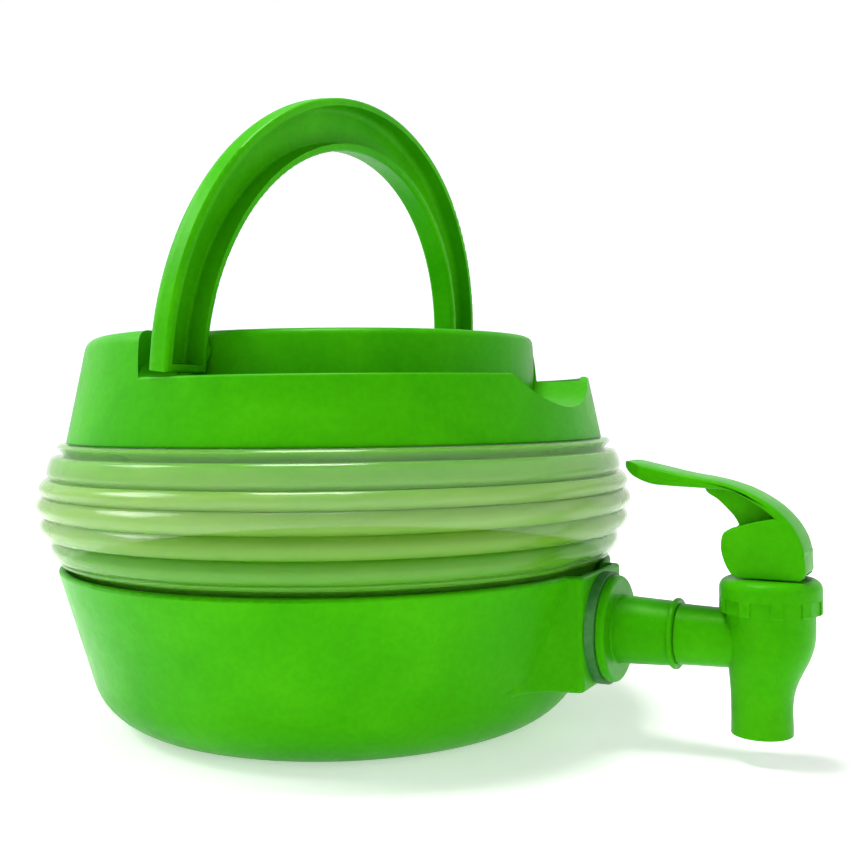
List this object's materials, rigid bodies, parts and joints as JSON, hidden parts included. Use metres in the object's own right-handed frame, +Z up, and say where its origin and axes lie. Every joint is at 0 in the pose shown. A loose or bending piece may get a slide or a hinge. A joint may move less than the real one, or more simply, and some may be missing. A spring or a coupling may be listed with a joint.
{
  "type": "collapsible drink dispenser",
  "caption": "Collapsible drink dispenser: round tub, folding bellows bottle, screw lid with a fold-down bail handle and a push-lever tap.",
  "frame": {"origin": "on the bottle's axis, at the underside of the tub's flat floor", "axes": "+Z up along the bottle's axis, +X out along the tap, the handle's pivot axis along Y"},
  "size_m": [0.2718, 0.2064, 0.2165],
  "materials": {
    "green_plastic": "satin injection-moulded polypropylene",
    "bottle_film": "milky translucent blow-moulded polyethylene",
    "washer_rubber": "matt",
    "seal_silicone": "satin silicone",
    "spring_steel": "drawn wire"
  },
  "bodies": {
    "base": {"base_tub": "green_plastic", "bottle_base": "bottle_film", "bellows": "bottle_film", "tap_shank": "green_plastic", "shank_o_ring": "washer_rubber", "tap_body": "green_plastic", "tap_outer_washer": "washer_rubber", "tap_inner_washer": "washer_rubber", "tap_nut": "green_plastic", "tap_bonnet": "green_plastic", "valve_spring": "spring_steel"},
    "bottle_top": {"bottle_neck": "bottle_film"},
    "gasket": {"lid_gasket": "seal_silicone"},
    "lid": {"lid_cover": "green_plastic"},
    "handle": {"handle": "green_plastic"},
    "valve": {"valve_seal": "seal_silicone"},
    "plunger": {"tap_plunger": "green_plastic"},
    "lever": {"tap_lever": "green_plastic"}
  },
  "joints": [
    {"name": "bellows_stretch", "type": "slide", "parent": "base", "child": "bottle_top", "axis": [0, 0, 1], "range_m": [0, 0.11], "deforming": ["bellows"]},
    {"name": "lid_lift", "type": "slide", "parent": "bottle_top", "child": "gasket", "axis": [0, 0, 1], "range_m": [0, 0.0271]},
    {"name": "lid_turn", "type": "hinge", "parent": "gasket", "child": "lid", "pos_m": [0, 0, 0.1181], "axis": [0, 0, 1], "range_deg": [0, 360]},
    {"name": "handle_fold", "type": "hinge", "parent": "lid", "child": "handle", "pos_m": [0, 0, 0.1262], "axis": [0.061, 0.9981, 0], "range_deg": [0, 83]},
    {"name": "valve_lift", "type": "slide", "parent": "base", "child": "valve", "axis": [0, 0, 1], "range_m": [0, 0.0016], "deforming": ["valve_spring"]},
    {"name": "lever_swivel", "type": "hinge", "parent": "valve", "child": "plunger", "pos_m": [0.1535, 0, 0.045], "axis": [0, 0, 1], "continuous": true},
    {"name": "lever_press", "type": "hinge", "parent": "plunger", "child": "lever", "pos_m": [0.1535, 0, 0.063], "axis": [0, -1, 0], "range_deg": [0, 12], "stiffness_Nm_per_rad": 0.0156, "springref_deg": -31.83}
  ],
  "couplings": [
    {"joint": "lid_lift", "follows": "lid_turn", "m_per_rad": 0.0042972},
    {"joint": "valve_lift", "follows": "lever_press", "m_per_rad": 0.0072}
  ]
}
